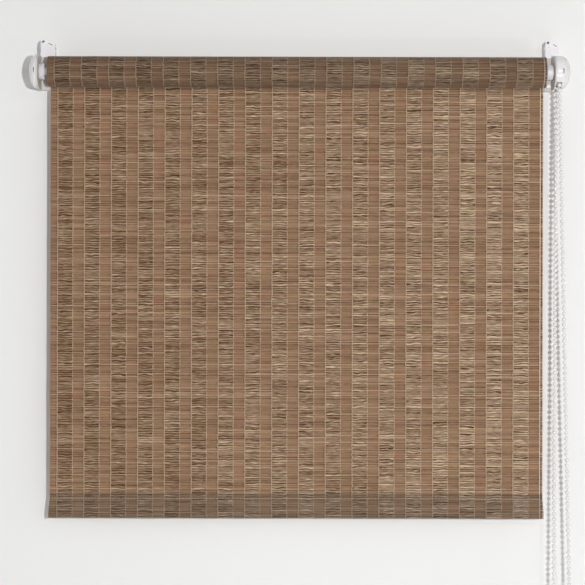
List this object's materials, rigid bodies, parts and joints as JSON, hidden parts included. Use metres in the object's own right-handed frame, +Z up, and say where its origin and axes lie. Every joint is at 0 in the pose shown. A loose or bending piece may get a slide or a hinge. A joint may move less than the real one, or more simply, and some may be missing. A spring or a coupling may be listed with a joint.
{
  "type": "roller blind",
  "caption": "Small roller blind of woven reed and bamboo cloth on two sash clamps, with a bead chain that turns the roller and raises the hemmed sheet.",
  "frame": {"origin": "on the window sash, at its front face and top edge, half-way along the fabric", "axes": "+X along the roller to the chain side, +Y into the window, +Z up"},
  "size_m": [0.6003, 0.0621, 0.6525],
  "materials": {
    "bamboo_fabric": "woven reed and bamboo cloth",
    "white_plastic": "smooth moulded white",
    "white_steel": "white powder coat",
    "tube_aluminium": "plain drawn tube",
    "bar_aluminium": "plain flat bar",
    "screw_steel": "zinc plated",
    "spring_steel": "plain spring wire",
    "clear_connector": "frosted clear plastic",
    "chain_plastic": "white plastic beads",
    "pad_rubber": "soft pale pad"
  },
  "bodies": {
    "brackets": {"left_bracket": "white_plastic", "left_cover": "white_plastic", "left_hook": "white_steel", "left_bracket_screw": "screw_steel", "right_bracket": "white_plastic", "right_cover": "white_plastic", "right_hook": "white_steel", "right_bracket_screw": "screw_steel", "clutch_core": "white_plastic", "clutch_spring": "spring_steel", "bead_chain": "chain_plastic", "chain_connector": "clear_connector"},
    "roller": {"roller_tube": "tube_aluminium", "fabric_roll": "bamboo_fabric", "idle_plug": "white_plastic", "idle_pin": "screw_steel", "drive_hub": "white_plastic", "chain_wheel": "white_plastic"},
    "hanging_blind": {"fabric_sheet": "bamboo_fabric", "hem_pocket": "bamboo_fabric", "bottom_bar": "bar_aluminium", "left_bar_cap": "white_plastic", "right_bar_cap": "white_plastic"},
    "left_clamp": {"left_jaw": "white_steel", "left_jaw_pad": "pad_rubber"},
    "right_clamp": {"right_jaw": "white_steel", "right_jaw_pad": "pad_rubber"},
    "left_screw": {"left_clamp_screw": "screw_steel"},
    "right_screw": {"right_clamp_screw": "screw_steel"}
  },
  "joints": [
    {"name": "roller_turn", "type": "hinge", "parent": "brackets", "child": "roller", "pos_m": [0, -0.021, -0.0285], "axis": [1, 0, 0], "range_deg": [-2880.79, 1376.38], "deforming": ["bead_chain"]},
    {"name": "blind_travel", "type": "slide", "parent": "brackets", "child": "hanging_blind", "axis": [0, 0, 1], "range_m": [-0.901, 0.431], "deforming": ["fabric_sheet"]},
    {"name": "left_clamp_slide", "type": "slide", "parent": "brackets", "child": "left_clamp", "axis": [0, -1, 0], "range_m": [-0.004, 0.005]},
    {"name": "left_screw_turn", "type": "hinge", "parent": "brackets", "child": "left_screw", "pos_m": [-0.2824, 0, 0.0039], "axis": [0, 1, 0], "range_deg": [-2110, 2625]},
    {"name": "right_clamp_slide", "type": "slide", "parent": "brackets", "child": "right_clamp", "axis": [0, -1, 0], "range_m": [-0.004, 0.005]},
    {"name": "right_screw_turn", "type": "hinge", "parent": "brackets", "child": "right_screw", "pos_m": [0.2828, 0, 0.0039], "axis": [0, 1, 0], "range_deg": [-2110, 2625]}
  ],
  "couplings": [
    {"joint": "blind_travel", "follows": "roller_turn", "m_per_rad": 0.0179},
    {"joint": "left_screw_turn", "follows": "left_clamp_slide", "rad_per_m": 8976},
    {"joint": "right_screw_turn", "follows": "right_clamp_slide", "rad_per_m": 8976}
  ]
}
